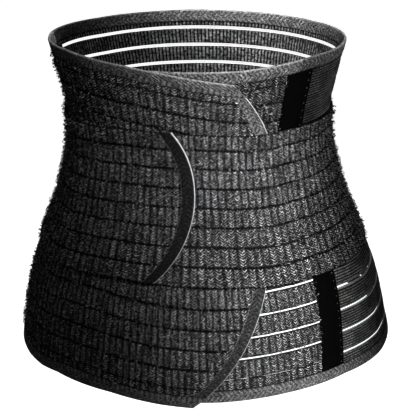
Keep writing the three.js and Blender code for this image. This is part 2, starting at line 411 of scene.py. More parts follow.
class Shader:
    """A material's node tree, with short calls for the nodes that cloth needs."""

    def __init__(self, name):
        self.material = bpy.data.materials.new(name)
        self.material.use_nodes = True
        self.tree = self.material.node_tree
        self.shader = self.tree.nodes["Principled BSDF"]

    def node(self, kind, **values):
        made = self.tree.nodes.new(kind)
        for key, value in values.items():
            setattr(made, key, value)
        return made

    def link(self, source, target):
        self.tree.links.new(source, target)

    def put(self, socket, value):
        if isinstance(value, bpy.types.NodeSocket):
            self.link(value, socket)
        else:
            socket.default_value = value

    def math(self, operation, *values):
        made = self.node("ShaderNodeMath", operation=operation)
        for socket, value in zip(made.inputs, values):
            self.put(socket, value)
        return made.outputs[0]

    def times(self, first, second):
        return self.math("MULTIPLY", first, second)

    def plus(self, first, second):
        return self.math("ADD", first, second)

    def dim(self, light, mask, share):
        """The light, less up to this share of it where the mask is dark."""
        return self.times(light, self.plus(self.times(mask, share), 1 - share))

    def ridges(self, value, pitch=1.0):
        """Rounded ridges from 0 to 1, a pitch apart."""
        return self.math("ABSOLUTE", self.math("SINE", self.times(value, math.pi / pitch)))

    def uv(self, layer="weave"):
        """Distances along and across the piece in centimetres, or the place in its knit."""
        made = self.node("ShaderNodeUVMap", uv_map=layer)
        split = self.node("ShaderNodeSeparateXYZ")
        self.link(made.outputs["UV"], split.inputs[0])
        return split.outputs["X"], split.outputs["Y"]

    def place(self):
        return self.node("ShaderNodeTexCoord").outputs["Object"]

    def vector(self, x, y):
        made = self.node("ShaderNodeCombineXYZ")
        self.put(made.inputs["X"], x)
        self.put(made.inputs["Y"], y)
        return made.outputs[0]

    def noise(self, vector, scale, detail=2.0, rough=0.5):
        made = self.node("ShaderNodeTexNoise")
        self.link(vector, made.inputs["Vector"])
        made.inputs["Scale"].default_value = scale
        made.inputs["Detail"].default_value = detail
        made.inputs["Roughness"].default_value = rough
        return made.outputs["Fac"]

    def ramp(self, value, low, high):
        """Rises smoothly from 0 at low to 1 at high."""
        made = self.node("ShaderNodeMapRange", interpolation_type="SMOOTHSTEP")
        self.put(made.inputs["Value"], value)
        made.inputs["From Min"].default_value = low
        made.inputs["From Max"].default_value = high
        return made.outputs["Result"]

    def mottle(self, vector, scale, low, high, rough=0.5):
        """Noise in patches, 0 where it's below low and 1 where it's above high."""
        return self.ramp(self.noise(vector, scale, rough=rough), low, high)

    def mix(self, share, first, second):
        made = self.node("ShaderNodeMix", data_type="RGBA")
        self.put(made.inputs["Factor"], share)
        self.put(made.inputs["A"], first)
        self.put(made.inputs["B"], second)
        return made.outputs["Result"]

    def finish(self, color, height, depth, roughness, strength=1.0, gloss=0.03):
        """Colours the shader and bumps it by the height, which is worth the depth where it's 1."""
        bump = self.node("ShaderNodeBump")
        self.link(height, bump.inputs["Height"])
        bump.inputs["Distance"].default_value = depth
        bump.inputs["Strength"].default_value = strength
        self.link(bump.outputs["Normal"], self.shader.inputs["Normal"])
        self.put(self.shader.inputs["Base Color"], color)
        self.shader.inputs["Roughness"].default_value = roughness
        self.shader.inputs["Specular IOR Level"].default_value = gloss
        return self.material


def rgba(color, gain=1.0):
    """The colour times the gain, opaque."""
    return (*(value * gain for value in color), 1.0)


def grey(value):
    return rgba((value, value, value))


def loop_cloth_material(settings, name="loop_cloth", gain=1.0):
    """Brushed knit: zigzag rows of loops in columns, some fluffed up and some matted dark. The gain
    brightens it or darkens it."""
    rows_per_cm, rows_in_zigzag, rows_of_wobble = 4.15, 2.4, 0.7
    patch_stretch = 0.35
    loop_relief, speck_relief = 0.9, 0.5
    s = Shader(name)
    along, across = s.uv()
    cloth = s.vector(along, across)
    turn, edge = s.uv("relief")
    column = s.math("SINE", s.times(turn, 2 * math.pi))
    zigzag = s.math("PINGPONG", s.plus(turn, 0.25), 0.5)
    row = s.plus(s.times(across, rows_per_cm), s.times(zigzag, rows_in_zigzag))
    row = s.plus(row, s.times(s.noise(cloth, scale=1.6), rows_of_wobble))
    loops = s.ridges(row)
    specks = s.mottle(cloth, scale=4.6, low=0.4, high=0.62, rough=0.7)
    fibres = s.mottle(cloth, scale=12.0, low=0.3, high=0.7, rough=0.7)
    patches = s.vector(turn, s.times(across, patch_stretch))
    wear_and_highlight = s.mottle(patches, scale=1.3, low=0.38, high=0.62)
    light = s.dim(s.ramp(loops, low=0.6, high=0.98), specks, share=0.9)
    light = s.dim(light, s.ramp(column, low=-0.9, high=0.2), share=0.8)
    light = s.dim(light, fibres, share=0.6)
    light = s.dim(light, wear_and_highlight, share=0.65)
    # Painted shade: the cloth darkens towards the edges of each band, as in the groove of a slit.
    light = s.times(light, s.ramp(edge, low=0.97, high=0.85))
    color = s.mix(light, rgba(settings.ground), rgba(settings.color, gain))
    height = s.plus(s.times(loops, loop_relief), s.times(specks, speck_relief))
    return s.finish(color, height, depth=1.0 * MM, roughness=0.8)


def elastic_material(settings, name, gain, inside=False, slit_highlight=0.0):
    """Ribbed elastic: ribs along the band outside, close upright stitches inside. The gain brightens
    it, and the last argument is how light a painted highlight makes its edges at the slits."""
    rib_relief, pick_relief, thread_relief = 0.85, 0.15, 0.5
    thread_stretch, patch_stretch = (0.6 if inside else 2.0), 0.6
    s = Shader(name)
    along, across = s.uv()
    from_middle = s.math("ABSOLUTE", s.uv("relief")[1])
    thread = s.noise(s.vector(along, s.times(across, thread_stretch)), scale=5.0, rough=0.7)
    if inside:
        stitches = s.ridges(along, pitch=0.3)
        height = s.dim(stitches, s.ridges(across, pitch=0.3), share=0.3)
        light = s.ramp(height, low=0.3, high=0.8)
    else:
        ribs = s.ridges(across, pitch=settings.rib / CM)
        picks = s.ridges(along, pitch=0.17)
        height = s.plus(s.times(ribs, rib_relief), s.times(picks, pick_relief))
        light = s.ramp(height, low=0.5, high=1.0)
    light = s.times(light, s.ramp(thread, low=0.32, high=0.68))
    patches = s.vector(s.times(along, patch_stretch), across)
    wear_and_highlight = s.mottle(patches, scale=1.2, low=0.3, high=0.7)
    light = s.dim(light, wear_and_highlight, share=0.6)
    color = s.mix(light, grey(0.002), rgba(settings.color, gain))
    # Painted highlight: a light grey line along the band's edges at the slits, broken up by the threads.
    edge = s.times(s.ramp(from_middle, low=0.86, high=0.95), slit_highlight)
    edge_highlight = s.times(edge, s.ramp(thread, low=0.25, high=0.6))
    color = s.mix(edge_highlight, color, grey(0.6))
    height = s.plus(height, s.times(thread, thread_relief))
    return s.finish(color, height, depth=0.5 * MM, roughness=0.6)


def binding_material(settings, name, face=None):
    """Knitted tape with a herringbone face. Round a flap's end its edge is light, its face has a
    brightness of its own that is painted shade, and both its edges get a painted highlight."""
    rows_per_cm, rows_in_zigzag = 2.3, 1.2
    grain_stretch = 0.55
    s = Shader(name)
    along, across = s.uv()
    side = s.uv("relief")[1]
    from_middle = s.math("ABSOLUTE", side)
    stitches = s.ridges(s.plus(s.times(along, rows_per_cm), s.times(from_middle, rows_in_zigzag)))
    grain = s.noise(s.vector(along, s.times(side, grain_stretch)), scale=6.0, detail=3.0, rough=0.75)
    light = s.ramp(grain, low=0.36, high=0.7)
    light = s.dim(light, s.ramp(stitches, low=0.1, high=1.0), share=0.7)
    rim = s.times(s.ramp(side, low=-0.75, high=-0.95), s.ramp(grain, low=0.3, high=0.55))
    light = s.math("MAXIMUM", light, rim)
    light = s.times(light, s.ramp(side, low=0.95, high=0.75))
    patches = s.mottle(s.vector(along, side), scale=1.1, low=0.3, high=0.65)
    light = s.dim(light, patches, share=0.45)
    color = s.mix(light, grey(0.008), rgba(settings.binding_color))
    if face is not None:
        # Painted shade and highlight: the face takes its flap's brightness, darkest on the middle flap's
        # end, which lies out of the light, and its edges get a painted highlight in the light yarn's
        # colour, weaker on a darker face.
        highlight_share = max(0.4, min(1.0, 6 * face))
        wear_and_highlight = s.times(s.ramp(from_middle, low=0.7, high=1.0), s.ramp(grain, low=0.45, high=0.65))
        shaded = s.mix(light, grey(0.004), grey(face))
        color = s.mix(s.times(wear_and_highlight, highlight_share), shaded, rgba(settings.binding_color))
        color = s.mix(s.ramp(across, low=0.95, high=0.98), color, rgba(settings.piping_color))
    return s.finish(color, s.plus(stitches, grain), depth=0.5 * MM, roughness=0.8)


def pile_material(settings):
    """Yarn of the loops that stand out of the cloth."""
    s = Shader("loop_pile")
    speck = s.noise(s.place(), scale=420.0)
    bright = rgba(settings.color, gain=0.6)
    color = s.mix(s.ramp(speck, low=0.45, high=0.75), rgba(settings.ground), bright)
    return s.finish(color, speck, depth=0.1 * MM, roughness=0.7)


def tape_material(settings):
    """Dead black tape with a close nap."""
    s = Shader("black_tape")
    nap = s.noise(s.vector(*s.uv()), scale=30.0)
    color = s.mix(nap, rgba(settings.tape_color), grey(0.002))
    return s.finish(color, nap, depth=0.2 * MM, roughness=0.95, strength=0.4, gloss=0.0)


def thread_material():
    """Grey sewing thread with a fine twist."""
    s = Shader("thread")
    twist = s.noise(s.place(), scale=1500.0, detail=1.0)
    color = s.mix(twist, grey(0.06), grey(0.25))
    return s.finish(color, twist, depth=0.1 * MM, roughness=0.6)


def hook_material():
    """Hook tape: rows of tiny plastic hooks."""
    s = Shader("hook_tape")
    dots = s.node("ShaderNodeTexVoronoi")
    s.link(s.place(), dots.inputs["Vector"])
    dots.inputs["Scale"].default_value = 700.0
    color = s.mix(dots.outputs["Distance"], grey(0.03), grey(0.004))
    return s.finish(color, dots.outputs["Distance"], depth=0.3 * MM, roughness=0.45)


def shell(name, columns, rows, place, open_cell=None):
    """A closed sheet made from a grid.

    place(column, row) gives a point of the outer face, one of the inner face, the distances along
    and across the weave in centimetres, and the place in the knit: turns of its columns, and how far
    it is from the middle of its band, up to 1 at the edges. open_cell(column, row) is true where the
    sheet is cut away. The outer face takes the first material, and the inner face the second.
    """
    bm = bmesh.new()
    bmesh.ops.create_grid(bm, x_segments=columns, y_segments=rows, size=0.5)
    weave = bm.loops.layers.uv.new("weave")
    relief = bm.loops.layers.uv.new("relief")

    def cell(vert):
        return round((vert.co.x + 0.5) * columns), round((vert.co.y + 0.5) * rows)

    if open_cell:
        gone = []
        for face in bm.faces:
            cells = [cell(vert) for vert in face.verts]
            if open_cell(min(column for column, row in cells), min(row for column, row in cells)):
                gone.append(face)
        bmesh.ops.delete(bm, geom=gone, context="FACES")
    placed = {cell(vert): place(*cell(vert)) for vert in bm.verts}
    inner_faces = bm.faces[:]
    for face in inner_faces:
        face.material_index = 1
        for loop in face.loops:
            loop[weave].uv, loop[relief].uv = placed[cell(loop.vert)][2:]
    made = bmesh.ops.extrude_face_region(bm, geom=inner_faces, use_keep_orig=True)["geom"]
    outer = {part for part in made if isinstance(part, bmesh.types.BMVert)}
    for vert in bm.verts:
        vert.co = placed[cell(vert)][0 if vert in outer else 1]
    for face in bm.faces:
        face.smooth = True
        if any(vert in outer for vert in face.verts):
            face.material_index = 0
    bmesh.ops.recalc_face_normals(bm, faces=bm.faces)
    return add_piece(name, bm)


def mesh_of(name, bm):
    mesh = bpy.data.meshes.new(name)
    bm.to_mesh(mesh)
    bm.free()
    return mesh


def add_piece(name, bm):
    piece = bpy.data.objects.new(name, mesh_of(name, bm))
    bpy.context.scene.collection.objects.link(piece)
    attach(piece, "root")
    return piece


def cover(piece, outer, inner=None):
    """Gives a sheet the materials of its outer and inner face."""
    piece.data.materials.append(outer)
    piece.data.materials.append(inner or outer)


def loop_template():
    """One loop of yarn: half a ring of radius 1, with a quarter of that as the yarn's own radius."""
    bm = bmesh.new()
    middle = Matrix.Translation((1, 0, 0))
    ring = bmesh.ops.create_circle(bm, segments=3, radius=0.25, matrix=middle)["verts"]
    edges = list({edge for vert in ring for edge in vert.link_edges})
    bmesh.ops.spin(
        bm, geom=ring + edges, cent=(0, 0, 0), axis=(0, -1, 0), angle=math.pi, steps=4, use_duplicate=False
    )
    bmesh.ops.holes_fill(bm, edges=bm.edges, sides=3)
    bmesh.ops.recalc_face_normals(bm, faces=bm.faces)
    for face in bm.faces:
        face.smooth = True
    return mesh_of("loop_template", bm)


def stitch_template():
    """One stitch, lying across the belt."""
    half_size = (0.35 * MM, 0.6 * MM, 0.3 * MM)
    bm = bmesh.new()
    bmesh.ops.create_uvsphere(bm, u_segments=8, v_segments=5, radius=1)
    bmesh.ops.scale(bm, verts=bm.verts, vec=half_size)
    for face in bm.faces:
        face.smooth = True
    return mesh_of("stitch_template", bm)


def scatter(name, template, places):
    """One piece with a copy of the template at each place, joined in small groups for speed."""
    whole = bmesh.new()
    group = 64
    for first in range(0, len(places), group):
        part = bmesh.new()
        for place in places[first : first + group]:
            before = len(part.verts)
            part.from_mesh(template)
            part.verts.ensure_lookup_table()
            for vert in part.verts[before:]:
                vert.co = place @ vert.co
        bmesh.ops.recalc_face_normals(part, faces=part.faces)
        mesh = mesh_of("part", part)
        whole.from_mesh(mesh)
        bpy.data.meshes.remove(mesh)
    return add_piece(name, whole)


def spread_between(first, last, step):
    """Even positions from first to last, no further apart than step."""
    count = max(1, math.ceil(abs(last - first) / step))
    return [first + (last - first) * i / count for i in range(count + 1)]


def ease(value):
    """From 0 to 1 with soft ends, and flat beyond them."""
    value = min(1.0, max(0.0, value))
    return value * value * (3 - 2 * value)


def crowned(t, power):
    """1 in the middle of a strip, where t is 0.5, falling to 0 at both edges. A high power keeps it
    full almost to the edges."""
    return 1 - abs(2 * t - 1) ** power


def bead(t, middle, width):
    """A rounded bead that runs along a strip."""
    return math.exp(-(((t - middle) / width) ** 2))


class Strip:
    """A piece of a belt between two lines across it, with its columns and rows. Its length is taken
    at its middle row."""

    def __init__(self, belt, start, end, rows, step):
        self.start, self.end = start, end
        self.rows = rows if belt["down"] < 0 else rows[::-1]
        middle = rows[len(rows) // 2]
        height = belt["edge"] - belt["down"] * middle
        self.length = 0.0
        angle, last = start(middle), end(middle)
        while angle < last:
            self.length += stretch(angle, height)
            angle += 1
        self.count = max(2, math.ceil(self.length / step))

    def angle(self, across, share):
        start, end = self.start(across), self.end(across)
        return start + (end - start) * share

    def at(self, column, row):
        across = self.rows[row]
        share = column / self.count
        return across, self.angle(across, share), share


def puff(along, across, size, seed):
    """Smooth random lift between -1 and 1 over cloth coordinates."""
    return noise.noise(Vector((along / size, across / size, seed)))


def start_line(belt):
    """The line where a belt's right panel begins, under the flap."""
    return lambda across: belt["start"]


def beside_seam(belt, seam, distance):
    """The line a distance after a seam, or before it where the distance is below 0."""
    return lambda across: beside(belt, across, seam_angle(belt, seam, across), distance)


def at_seam(belt, seam, side):
    """The line half a clearance before a seam (side -1) or after it (side 1)."""
    return beside_seam(belt, seam, side * CLEARANCE / 2)


def flap_line(belt, inset):
    """The line of a flap's rounded end, a way back from it by the inset."""
    return lambda across: flap_angle(belt, across, inset)


class Panel:
    """Loop cloth between two lines, banded by its slits and knitted in columns. Beside its seam it
    lies flat under the tape. Its cuts are the rows of the grid that its slits take."""

    # How far the faces lie above the layer below, and how high and how large the knit's relief is.
    # drift is how far the columns of knit stray, in radians. The band steps keep the noise of one
    # band unlike the next one's, and the weave step does so for whole panels.
    base = 0.8 * MM
    inner_lift = 0.1 * MM
    flat_lift = 1.5 * MM
    flat_fade = 6 * MM
    column_height = 0.25 * MM
    swell_height = 0.4 * MM
    swell_size = 8 * MM
    drift = 2.2
    drift_size = 22 * MM
    drift_band_step = 0.5
    waver_height = 0.35 * MM
    waver_size = 9 * MM
    waver_band_step = 0.3
    weave_step = 3.7 * MM

    def __init__(self, belt, edges, rows_in_band, start, end, seam_share, step, settings, seed):
        self.belt, self.edges, self.settings, self.seed = belt, edges, settings, seed
        self.seam_share = seam_share
        rows = []
        self.cuts = []
        for low, high in edges:
            if rows:
                self.cuts.append(len(rows) - 1)
            rows += [low + (high - low) * share / rows_in_band for share in range(rows_in_band + 1)]
        self.last_row = len(rows) - 1
        if belt["down"] > 0:
            self.cuts = [self.last_row - 1 - cut for cut in self.cuts]
        self.strip = Strip(belt, start, end, rows, step)
        middle = belt["edge"] - belt["down"] * belt["width"] / 2
        self.first = math.floor(min(start(across) for across in rows)) - 1
        last = math.ceil(max(end(across) for across in rows)) + 2
        self.runs = [0.0]
        for degree in range(self.first, last):
            self.runs.append(self.runs[-1] + stretch(degree + 0.5, middle))

    def run(self, angle):
        """The distance along the belt's middle at an angle, so that columns of knit stand upright."""
        degree = math.floor(angle) - self.first
        before, after = self.runs[degree], self.runs[degree + 1]
        return before + (after - before) * (angle - math.floor(angle))

    def band_at(self, across):
        """The number of the band that is nearest, and its two edges."""
        pairs = zip(self.edges, self.edges[1:])
        index = sum(across > (high + low) / 2 for (_, high), (low, _) in pairs)
        return index, *self.edges[index]

    def to_seam(self, share):
        return abs(self.seam_share - share) * self.strip.length

    def surface(self, across, share):
        """A point of the outer face, its distance along the belt, and its place in the knit."""
        index, low, high = self.band_at(across)
        angle = self.strip.angle(across, share)
        along = self.run(angle)
        edge = abs(2 * min(1.0, max(0.0, (across - low) / (high - low))) - 1)
        free = ease((self.to_seam(share) - TAPE_WIDTH / 2) / self.flat_fade)
        drift = self.drift * puff(along, self.drift_band_step * index, self.drift_size, self.seed)
        turn = along / self.settings.column + drift / (2 * math.pi)
        column = math.sin(2 * math.pi * turn) * (1 - edge**6)
        swell = puff(along, across, self.swell_size, self.seed)
        lift = self.base + self.settings.crown * (1 - edge**7)
        lift += free * (self.column_height * column + self.swell_height * swell)
        if free == 0:
            lift = min(lift, self.flat_lift)
        waver = puff(along, self.waver_band_step * index, self.waver_size, self.seed + 3) * edge
        point = belt_point(self.belt, across + self.waver_height * waver, angle, lift)
        return point, along, (turn, edge)

    def place(self, column, row):
        across, angle, share = self.strip.at(column, row)
        outer, along, relief = self.surface(across, share)
        inner = belt_point(self.belt, across, angle, self.inner_lift)
        shifted = along + self.seed * self.weave_step
        return outer, inner, (shifted / CM, -self.belt["down"] * across / CM), relief


class BINDER_OT_panels(bpy.types.Operator):
    """Front panels and flaps of loop cloth, cut with slits between their bands"""

    bl_idname = "binder.panels"
    bl_label = "Loop cloth panels"

    # Slits and loops keep margins from the ends, seams and slits. A loop's radius and its height
    # (lowest, highest and most usual) are in millimetres.
    step = 1.6 * MM
    rows_in_band = 8
    # The upper right panel takes a darker copy of the loop cloth: a painted shadow of the flap over it.
    shaded_gain = 0.6
    start_margin = 5 * MM
    seam_margin = 10 * MM
    loop_spacing = 3.6 * MM
    loop_end_share = 0.002
    loop_slit_margin = 0.4 * MM
    loop_tape_overlap = 1.2 * MM
    loop_lean = 0.7
    loop_sway = 0.5
    loop_tilt = 0.6
    loop_radius = (0.6, 1.2)
    loop_height = (0.8, 3.8, 1.2)

    def execute(self, context):
        settings = context.scene.binder_cloth
        cloth = loop_cloth_material(settings)
        shaded = loop_cloth_material(settings, "dull_loop_cloth", self.shaded_gain)
        pile = pile_material(settings)
        loop = loop_template()
        inset = BINDING_WIDTH + CLEARANCE
        for number, (name, belt) in enumerate(BELTS.items()):
            gaps = OPEN_PANEL_SLITS if name == "lower" else CLOSED_SLIT
            panel = Panel(
                belt,
                edges=bands(belt, "panel_slits", gaps),
                rows_in_band=self.rows_in_band,
                start=start_line(belt),
                end=at_seam(belt, "right_seam", -1),
                seam_share=1.0,
                step=self.step,
                settings=settings,
                seed=number,
            )
            # Painted shadow: the upper right panel gets the darker copy of the loop cloth.
            finish = shaded if name == "upper" else cloth
            margins = self.start_margin, self.seam_margin
            self.make(f"{name}_right_panel", panel, margins, finish, pile, loop)
            flap = Panel(
                belt,
                edges=bands(belt, "flap_slits", CLOSED_SLIT),
                rows_in_band=self.rows_in_band,
                start=at_seam(belt, "left_seam", 1),
                end=flap_line(belt, inset),
                seam_share=0.0,
                step=self.step,
                settings=settings,
                seed=number + 10,
            )
            margins = TAPE_WIDTH / 2, self.start_margin
            self.make(f"{name}_left_flap", flap, margins, cloth, pile, loop)
        bpy.data.meshes.remove(loop)
        return {"FINISHED"}

    def make(self, name, panel, margins, cloth, pile, loop):
        """The cloth, with its slits ending a margin from both ends, and the loops on it."""
        strip = panel.strip
        first_open = math.ceil(margins[0] / strip.length * strip.count)
        last_open = strip.count - math.ceil(margins[1] / strip.length * strip.count)
        piece = shell(
            name + "_cloth",
            strip.count,
            panel.last_row,
            panel.place,
            lambda column, row: row in panel.cuts and first_open <= column < last_open,
        )
        cover(piece, cloth)
        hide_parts(name)
        self.pile(name + "_loops", panel, pile, loop)

    def pile(self, name, panel, material, loop):
        """Loops that stand out of the cloth, leaning this way and that like the knit below."""
        first, last = panel.edges[0][0], panel.edges[-1][1]
        count = round(panel.strip.length * (last - first) / self.loop_spacing**2)
        taped = TAPE_WIDTH / 2 - self.loop_tape_overlap
        places = []
        for _ in range(count):
            across = random.uniform(first, last)
            share = random.uniform(self.loop_end_share, 1 - self.loop_end_share)
            _, low, high = panel.band_at(across)
            on_band = low + self.loop_slit_margin < across < high - self.loop_slit_margin
            if on_band and panel.to_seam(share) >= taped:
                places.append(self.loop_place(panel, across, share))
        piece = scatter(name, loop, places)
        piece.data.materials.append(material)

    def loop_place(self, panel, across, share):
        """Stands a loop on the cloth: its radius along it, its height out of it, its yarn 0.5 mm thick."""
        share_step, across_step = 0.002, 0.5 * MM
        foot, along, _ = panel.surface(across, share)
        ahead = (panel.surface(across, share + share_step)[0] - foot).normalized()
        side = (panel.surface(across + across_step, share)[0] - foot).normalized()
        out = ahead.cross(side).normalized()
        if out.dot(Vector((foot.x, foot.y, 0))) < 0:
            out.negate()
        lean = math.copysign(self.loop_lean, math.sin(2 * math.pi * along / panel.settings.column))
        lean += random.uniform(-self.loop_sway, self.loop_sway)
        way = (ahead + side * lean).normalized()
        out = (out + side * random.uniform(-self.loop_tilt, self.loop_tilt)).normalized()
        yarn = out.cross(way).normalized()
        radius = random.uniform(*self.loop_radius) * MM
        height = random.triangular(*self.loop_height) * MM
        turn = Matrix((way * radius, yarn * MM, out * height)).transposed().to_4x4()
        return Matrix.Translation(foot) @ turn


class BINDER_OT_back_bands(bpy.types.Operator):
    """Separate ribbed elastic bands round the back, gathered closer beside the right seam"""

    bl_idname = "binder.back_bands"
    bl_label = "Back bands"

    # Past the right seam the slits stay narrow for some degrees, and then widen. The rest is the
    # relief of a band: its edges roll in, and it sways up and down along its length.
    step = 3.5 * MM
    rows_in_rib = 3
    gathered_until = 30
    gather_fade = 40
    narrowest_sheet = 12 * MM
    base = FABRIC - 0.25 * MM
    inner_lift = 0.1 * MM
    inner_roll = 0.4
    edge_roll = 0.5 * MM
    sway = 0.4 * MM
    sway_size = 60 * MM
    sway_seed = 3
    inside_gain = 1.9
    gain = {"upper": 1.0, "middle": 1.0, "lower": 1.35}
    # How light the painted highlight along the slit edges of each belt's outside bands is.
    slit_highlight = {"upper": 0.0, "middle": 0.0, "lower": 0.4}
    seam_slit = {"upper": 0.4 * MM, "middle": 0.7 * MM, "lower": 1.6 * MM}

    def execute(self, context):
        settings = context.scene.binder_elastic
        inner = elastic_material(settings, "elastic_inside", self.inside_gain, inside=True)
        for name, belt in BELTS.items():
            look = f"{name}_elastic_outside"
            outer = elastic_material(settings, look, self.gain[name], slit_highlight=self.slit_highlight[name])
            edges = bands(belt, "back_slits", BACK_SLIT)
            closing = (BACK_SLIT[0] - self.seam_slit[name]) / 2
            for index, (low, high) in enumerate(edges):
                gather = closing * (index > 0), closing * (index < len(edges) - 1)
                node = f"{name}_back_band_{index + 1}"
                piece, length = self.band(node, belt, low, high, gather, settings)
                cover(piece, outer, inner)
                if high - low < self.narrowest_sheet:
                    continue
        return {"FINISHED"}

    def band(self, node, belt, low, high, gather, settings):
        """One band and its length. gather is how far its two edges spread where the slits narrow."""
        rows = spread_between(low, high, settings.rib / self.rows_in_rib)
        first, last = at_seam(belt, "right_seam", 1), at_seam(belt, "left_seam", -1)
        strip = Strip(belt, first, last, rows, self.step)

        def place(column, row):
            across, angle, share = strip.at(column, row)
            along = share * strip.length
            t = (across - low) / (high - low)
            rib = settings.rib_height * abs(math.sin(math.pi * across / settings.rib))
            roll = self.edge_roll * (1 - crowned(t, power=6))
            past_seam = angle - seam_angle(belt, "right_seam", across)
            gathered = 1 - ease((past_seam - self.gathered_until) / self.gather_fade)
            across += gathered * (gather[1] * t - gather[0] * (1 - t))
            swayed = across + self.sway * puff(along, low, self.sway_size, self.sway_seed)
            outer = belt_point(belt, swayed, angle, self.base + rib - roll)
            inner = belt_point(belt, swayed, angle, self.inner_lift + self.inner_roll * roll)
            return outer, inner, (along / CM, across / CM), (0, 2 * t - 1)

        piece = shell(node + "_elastic", strip.count, len(rows) - 1, place)
        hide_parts(node)
        return piece, strip.length


class BINDER_OT_bindings(bpy.types.Operator):
    """Knitted bindings along the top and bottom rims and round the flaps' ends"""

    bl_idname = "binder.bindings"
    bl_label = "Bindings"

    # How far each face lies above the layer below, and the beads and the knit on it. faces has the
    # brightness of each flap's end binding: painted shade, darkest on the middle flap's end, which lies
    # out of the light.
    step = 1.5 * MM
    rows_across = 12
    tuck = 0.6 * MM
    base = 1.3 * MM
    crown = 0.8 * MM
    rim_bead = 0.35 * MM
    inner_lift = -0.2 * MM
    inner_crown = 0.3 * MM
    end_crown = 0.6 * MM
    piping = 0.6 * MM
    end_bead = 0.3 * MM
    end_inner_lift = -0.1 * MM
    knit = 0.1 * MM
    knit_size = 2.2 * MM
    knit_seed = 7
    end_knit_seed = 9
    faces = {"upper": 0.3, "middle": 0.026, "lower": 0.09}

    def execute(self, context):
        settings = context.scene.binder_trim
        plain = binding_material(settings, "knit_binding")
        for name, belt in BELTS.items():
            piped = binding_material(settings, f"{name}_piped_binding", self.faces[name])
            self.end_binding(name, belt, piped)
            if not belt["bound"]:
                continue
            lengths = {
                "right": (start_line(belt), at_seam(belt, "right_seam", -1)),
                "back": (at_seam(belt, "right_seam", 1), at_seam(belt, "left_seam", -1)),
                "flap": (at_seam(belt, "left_seam", 1), flap_line(belt, 0.0)),
            }
            for part, (start, end) in lengths.items():
                self.edge_binding(f"{name}_edge_binding_{part}", belt, start, end, plain)
        return {"FINISHED"}

    def edge_binding(self, node, belt, start, end, material):
        """Runs along the belt at its rim."""
        width = BINDING_WIDTH + self.tuck
        rows = spread_between(0.0, width, width / self.rows_across)
        strip = Strip(belt, start, end, rows, self.step)

        def place(column, row):
            across, angle, share = strip.at(column, row)
            along = share * strip.length
            t = across / width
            full = crowned(t, power=5)
            lift = self.base + self.crown * full
            lift += self.rim_bead * bead(t, middle=0.09, width=0.08)
            lift += self.knit * puff(along, across, self.knit_size, self.knit_seed)
            outer = belt_point(belt, across, angle, lift)
            inner = belt_point(belt, across, angle, self.inner_lift - self.inner_crown * full)
            return outer, inner, (along / CM, across / CM), (0, 2 * t - 1)

        piece = shell(node + "_knit", strip.count, len(rows) - 1, place)
        cover(piece, material)
        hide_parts(node)

    def end_binding(self, name, belt, material):
        """Runs across the belt along the flap's rounded end."""
        node = f"{name}_flap_end_binding"
        rows = spread_between(cloth_start(belt), belt["width"], self.step)
        rows = rows if belt["down"] < 0 else rows[::-1]
        columns = self.rows_across
        runs = [0.0]
        points = [belt_point(belt, across, flap_angle(belt, across), FABRIC) for across in rows]
        for before, after in zip(points, points[1:]):
            runs.append(runs[-1] + (after - before).length)

        def place(column, row):
            across = rows[row]
            t = column / columns
            angle = flap_angle(belt, across, (BINDING_WIDTH + self.tuck) * (1 - t))
            lift = self.base + self.end_crown * crowned(t, power=5)
            lift += self.piping * bead(t, middle=0.955, width=0.045)
            lift += self.end_bead * bead(t, middle=0.08, width=0.07)
            knit = puff(runs[row], t * BINDING_WIDTH, self.knit_size, self.end_knit_seed)
            lift += self.knit * knit
            outer = belt_point(belt, across, angle, lift)
            inner = belt_point(belt, across, angle, self.end_inner_lift)
            return outer, inner, (runs[row] / CM, t), (0, 2 * t - 1)

        piece = shell(node + "_knit", columns, len(rows) - 1, place)
        cover(piece, material)
        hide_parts(node)


